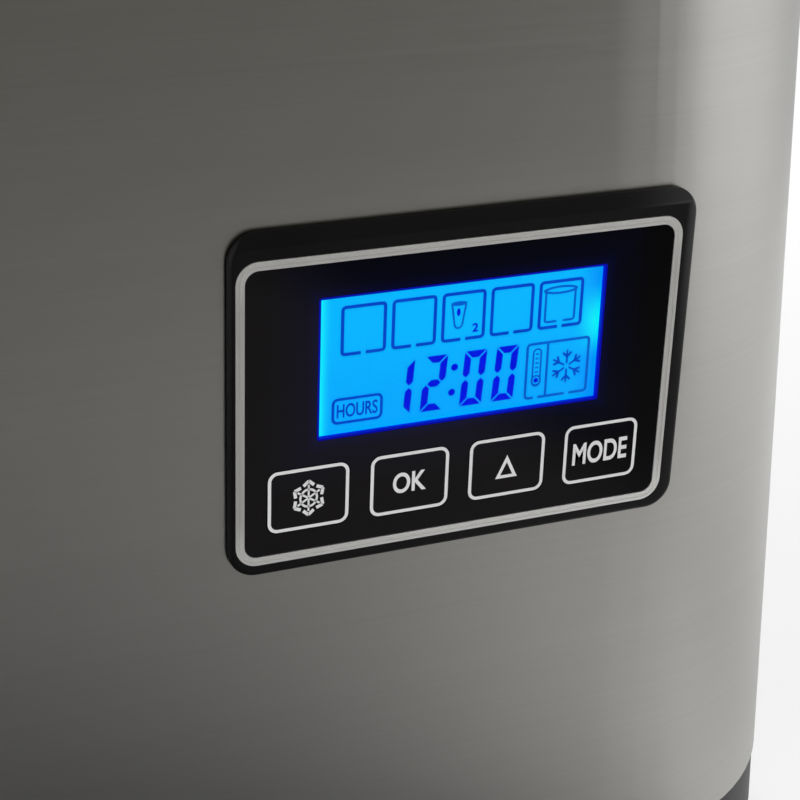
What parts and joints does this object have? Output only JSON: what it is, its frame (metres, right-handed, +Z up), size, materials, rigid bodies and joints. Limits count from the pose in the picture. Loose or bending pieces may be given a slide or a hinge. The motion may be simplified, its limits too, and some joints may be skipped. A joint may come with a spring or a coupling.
{
  "type": "yogurt maker",
  "caption": "Countertop yogurt maker: leaning brushed steel body on a black base, offset display panel with keys, clear lift-off lid over a removable tub in a heated and cooled well.",
  "frame": {"origin": "on the floor, under the middle of the body's box", "axes": "+Z up, front with the display panel towards -Y, +X to the right of someone facing the front"},
  "size_m": [0.2952, 0.2542, 0.3116],
  "materials": {
    "sleeve_steel": "brushed along the floor, satin",
    "black_plastic": "fine moulded grain",
    "panel_gloss": "polished black",
    "trim_silver": "satin silver plating",
    "black_rubber": "matt",
    "well_aluminium": "satin",
    "tub_steel": "satin spun steel",
    "lid_clear": "clear moulded plastic",
    "display_clear": "clear",
    "display_blue": "lit blue",
    "backlight_white": "milky",
    "board_green": "lacquered board",
    "switch_grey": "moulded",
    "screw_steel": "zinc plated",
    "heater_orange": "silicone sheet",
    "foam_white": "closed-cell foam",
    "ceramic_white": "fired ceramic",
    "contact_brass": "bare brass",
    "cable_grey": "flat cable",
    "winding_yellow": "taped winding",
    "can_blue": "sleeved can"
  },
  "bodies": {
    "housing": {"base_pan": "black_plastic", "board_screws": "screw_steel", "body_sleeve": "sleeve_steel", "cold_block": "well_aluminium", "control_board": "board_green", "display_cable": "cable_grey", "display_frame": "display_blue", "display_lens": "display_clear", "fan_frame": "black_plastic", "fan_screws": "screw_steel", "foam_jacket": "foam_white", "heat_sink": "well_aluminium", "heater_band": "heater_orange", "inlet_pins": "contact_brass", "intake_grille": "black_plastic", "lcd_backlight": "backlight_white", "lcd_glass": "display_blue", "module_gasket": "foam_white", "panel_back": "black_plastic", "panel_face": "panel_gloss", "panel_gasket": "black_rubber", "panel_housing": "black_plastic", "panel_screws": "screw_steel", "panel_trim": "trim_silver", "peltier_modules": "ceramic_white", "power_board": "board_green", "power_capacitors": "can_blue", "power_inlet": "black_plastic", "power_transformer": "winding_yellow", "rear_panel": "black_plastic", "rear_screws": "screw_steel", "rubber_feet": "black_rubber", "sink_screws": "screw_steel", "tact_switches": "switch_grey", "temperature_probe": "contact_brass", "tie_bolts": "screw_steel", "top_deck": "black_plastic", "well_liner": "well_aluminium"},
    "tub": {"yogurt_tub": "tub_steel", "tub_grips": "black_plastic"},
    "lid": {"lid_rim": "black_plastic", "lid_seal": "black_rubber", "lid_dome": "lid_clear", "lid_knob": "black_plastic", "knob_screw": "screw_steel"},
    "fan": {"fan_rotor": "black_plastic"},
    "chill_key": {"key_chill": "panel_gloss"},
    "ok_key": {"key_ok": "panel_gloss"},
    "up_key": {"key_up": "panel_gloss"},
    "mode_key": {"key_mode": "panel_gloss"}
  },
  "joints": [
    {"name": "tub_lift", "type": "slide", "parent": "housing", "child": "tub", "axis": [0, 0, 1], "range_m": [0, 0.16]},
    {"name": "lid_lift", "type": "slide", "parent": "tub", "child": "lid", "axis": [0, 0, 1], "range_m": [0, 0.12]},
    {"name": "fan_spin", "type": "hinge", "parent": "housing", "child": "fan", "pos_m": [0, 0, 0.066], "axis": [0, 0, 1], "continuous": true},
    {"name": "chill_key_press", "type": "slide", "parent": "housing", "child": "chill_key", "axis": [0, 1, 0], "range_m": [0, 0.0005], "stiffness_N_per_m": 600, "springref_m": -0.0005},
    {"name": "ok_key_press", "type": "slide", "parent": "housing", "child": "ok_key", "axis": [0, 1, 0], "range_m": [0, 0.0005], "stiffness_N_per_m": 600, "springref_m": -0.0005},
    {"name": "up_key_press", "type": "slide", "parent": "housing", "child": "up_key", "axis": [0, 1, 0], "range_m": [0, 0.0005], "stiffness_N_per_m": 600, "springref_m": -0.0005},
    {"name": "mode_key_press", "type": "slide", "parent": "housing", "child": "mode_key", "axis": [0, 1, 0], "range_m": [0, 0.0005], "stiffness_N_per_m": 600, "springref_m": -0.0005}
  ]
}
